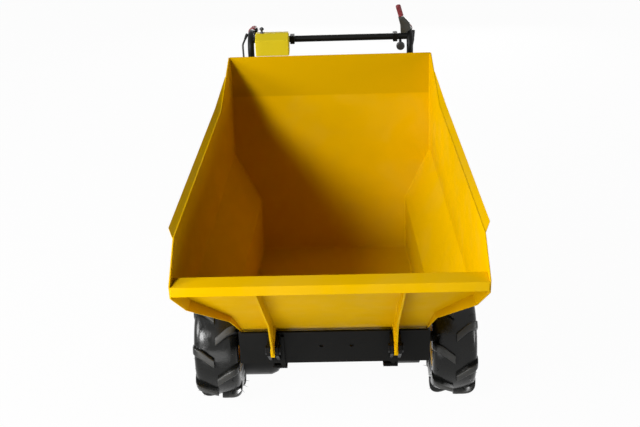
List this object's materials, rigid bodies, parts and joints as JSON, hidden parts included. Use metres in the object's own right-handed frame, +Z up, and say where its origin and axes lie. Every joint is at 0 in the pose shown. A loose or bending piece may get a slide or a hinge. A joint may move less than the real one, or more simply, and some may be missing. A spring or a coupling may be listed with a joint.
{
  "type": "walk-behind site dumper",
  "caption": "Walk-behind site dumper: a tipping sheet-steel skip hinged at the front of a narrow chassis on lugged wheels, with an engine and handlebars behind.",
  "frame": {"origin": "on the ground at the bottom centre of the bounding box", "axes": "-Y is the machine's front, +X its left side, +Z up"},
  "size_m": [0.784, 1.408, 0.9578],
  "materials": {
    "skip_yellow": "satin yellow paint",
    "rim_yellow": "satin yellow paint",
    "tyre_rubber": "moulded rubber",
    "console_yellow": "satin lemon paint",
    "grip_red": "ribbed rubber",
    "cable_black": "smooth sheath",
    "pad_rubber": "matt",
    "engine_alloy": "cast",
    "black_plastic": "moulded",
    "muffler_steel": "heat dulled",
    "frame_black": "semi-gloss black paint"
  },
  "bodies": {
    "chassis": {"air_cleaner": "black_plastic", "belt_cover": "black_plastic", "cable_left": "cable_black", "cable_right": "cable_black", "chain_case": "frame_black", "console": "console_yellow", "crossbar": "frame_black", "engine_crankcase": "engine_alloy", "engine_cylinder": "engine_alloy", "engine_deck": "frame_black", "front_axle": "frame_black", "front_plate": "frame_black", "fuel_cap": "black_plastic", "fuel_tank": "frame_black", "gear_lever": "black_plastic", "gearbox": "frame_black", "grip_left": "grip_red", "grip_right": "grip_red", "hand_lever_left": "frame_black", "hand_lever_right": "frame_black", "handle_left": "frame_black", "handle_right": "frame_black", "hinge_pin_left": "frame_black", "hinge_pin_right": "frame_black", "latch_pawl": "frame_black", "muffler": "muffler_steel", "rail_left": "frame_black", "rail_right": "frame_black", "rear_axle": "frame_black", "rear_plate": "frame_black", "recoil_starter": "black_plastic", "rest_pads": "pad_rubber", "throttle": "black_plastic", "tip_grip": "grip_red", "tip_lever": "frame_black"},
    "skip": {"latch_striker": "skip_yellow", "skip_back": "skip_yellow", "skip_floor": "skip_yellow", "skip_front": "skip_yellow", "skip_rib_left": "skip_yellow", "skip_rib_right": "skip_yellow", "skip_side_left": "skip_yellow", "skip_side_right": "skip_yellow"},
    "wheel_front_left": {"rim_front_left": "rim_yellow", "tyre_front_left": "tyre_rubber"},
    "wheel_front_right": {"rim_front_right": "rim_yellow", "tyre_front_right": "tyre_rubber"},
    "wheel_rear_left": {"rim_rear_left": "rim_yellow", "tyre_rear_left": "tyre_rubber"},
    "wheel_rear_right": {"rim_rear_right": "rim_yellow", "tyre_rear_right": "tyre_rubber"}
  },
  "joints": [
    {"name": "wheel_front_left_turn", "type": "hinge", "parent": "chassis", "child": "wheel_front_left", "pos_m": [0.3285, -0.068, 0.165], "axis": [1, 0, 0], "continuous": true},
    {"name": "wheel_front_right_turn", "type": "hinge", "parent": "chassis", "child": "wheel_front_right", "pos_m": [-0.3285, -0.068, 0.165], "axis": [1, 0, 0], "continuous": true},
    {"name": "wheel_rear_left_turn", "type": "hinge", "parent": "chassis", "child": "wheel_rear_left", "pos_m": [0.3285, 0.432, 0.165], "axis": [1, 0, 0], "continuous": true},
    {"name": "wheel_rear_right_turn", "type": "hinge", "parent": "chassis", "child": "wheel_rear_right", "pos_m": [-0.3285, 0.432, 0.165], "axis": [1, 0, 0], "continuous": true},
    {"name": "skip_tip", "type": "hinge", "parent": "chassis", "child": "skip", "pos_m": [0, -0.323, 0.306], "axis": [1, 0, 0], "range_deg": [0, 75]}
  ]
}
